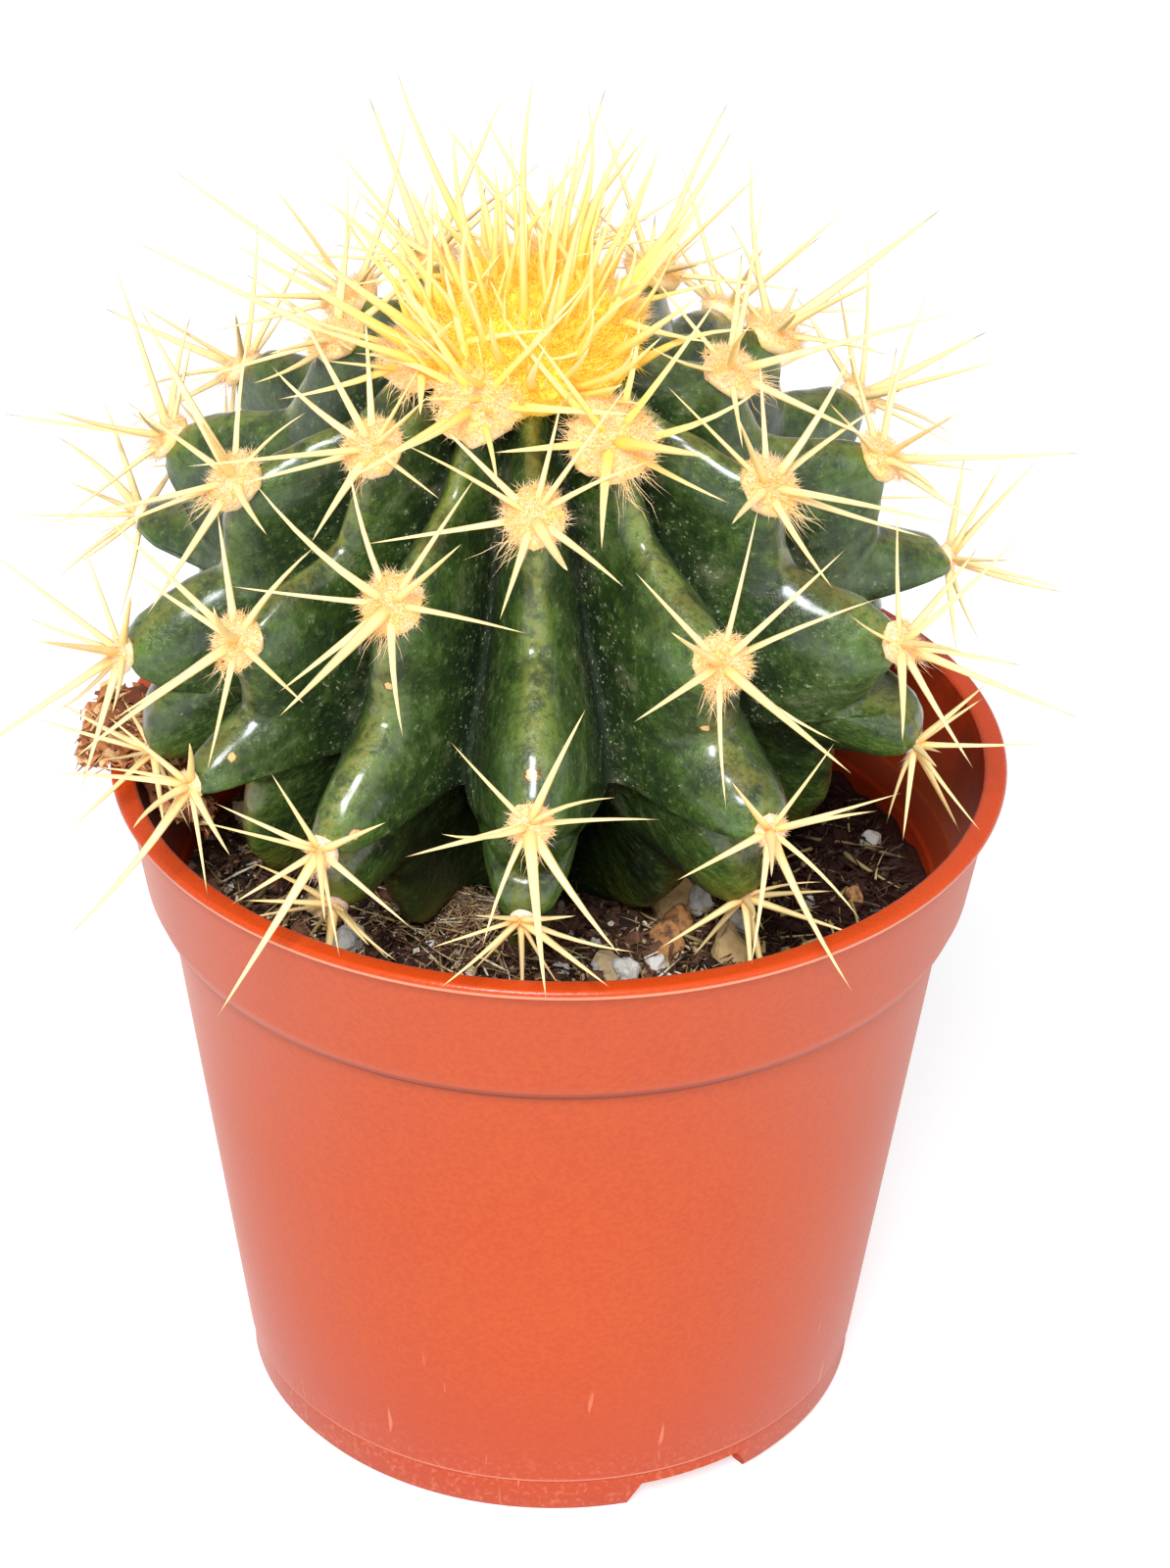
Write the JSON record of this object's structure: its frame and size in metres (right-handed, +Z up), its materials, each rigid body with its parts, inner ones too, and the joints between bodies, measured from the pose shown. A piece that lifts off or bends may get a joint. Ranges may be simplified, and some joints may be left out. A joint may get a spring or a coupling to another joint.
{
  "type": "potted round cactus",
  "caption": "Young round ribbed cactus with woolly crown and long pale spines, standing in soil in a small tapered plastic nursery pot.",
  "frame": {"origin": "middle of the part's box on the surface that the pot stands on, a few millimetres from the pot's upright axis", "axes": "+Z up along the pot, -Y towards the picture's viewer, +X to that viewer's right"},
  "size_m": [0.1026, 0.109, 0.1333],
  "materials": {
    "pot_plastic": "satin",
    "potting_soil": "matte",
    "dry_bark": "matte",
    "cactus_skin": "satin",
    "wool": "matte",
    "spines": "satin"
  },
  "bodies": {
    "root": {"pot": "pot_plastic", "soil": "potting_soil", "bark_flake": "dry_bark", "cactus_body": "cactus_skin", "crown": "wool", "areole_07_1": "spines", "areole_12_1": "spines", "areole_10_1": "spines", "areole_04_1": "spines", "areole_01_1": "spines", "areole_06_1": "spines", "areole_09_1": "spines", "areole_03_1": "spines", "areole_05_2": "spines", "areole_13_2": "spines", "areole_11_2": "spines", "areole_08_2": "spines", "areole_02_2": "spines", "areole_04_2": "spines", "areole_12_2": "spines", "areole_07_2": "spines", "areole_10_2": "spines", "areole_06_2": "spines", "areole_09_2": "spines", "areole_03_2": "spines", "areole_05_3": "spines", "areole_01_2": "spines", "areole_11_3": "spines", "areole_08_3": "spines", "areole_02_3": "spines", "areole_13_3": "spines", "areole_07_3": "spines", "areole_12_3": "spines", "areole_04_3": "spines", "areole_10_3": "spines", "areole_09_3": "spines", "areole_06_3": "spines", "areole_01_3": "spines", "areole_03_3": "spines", "areole_05_4": "spines", "areole_11_4": "spines", "areole_08_4": "spines", "areole_13_4": "spines", "areole_02_4": "spines"}
  },
  "joints": []
}
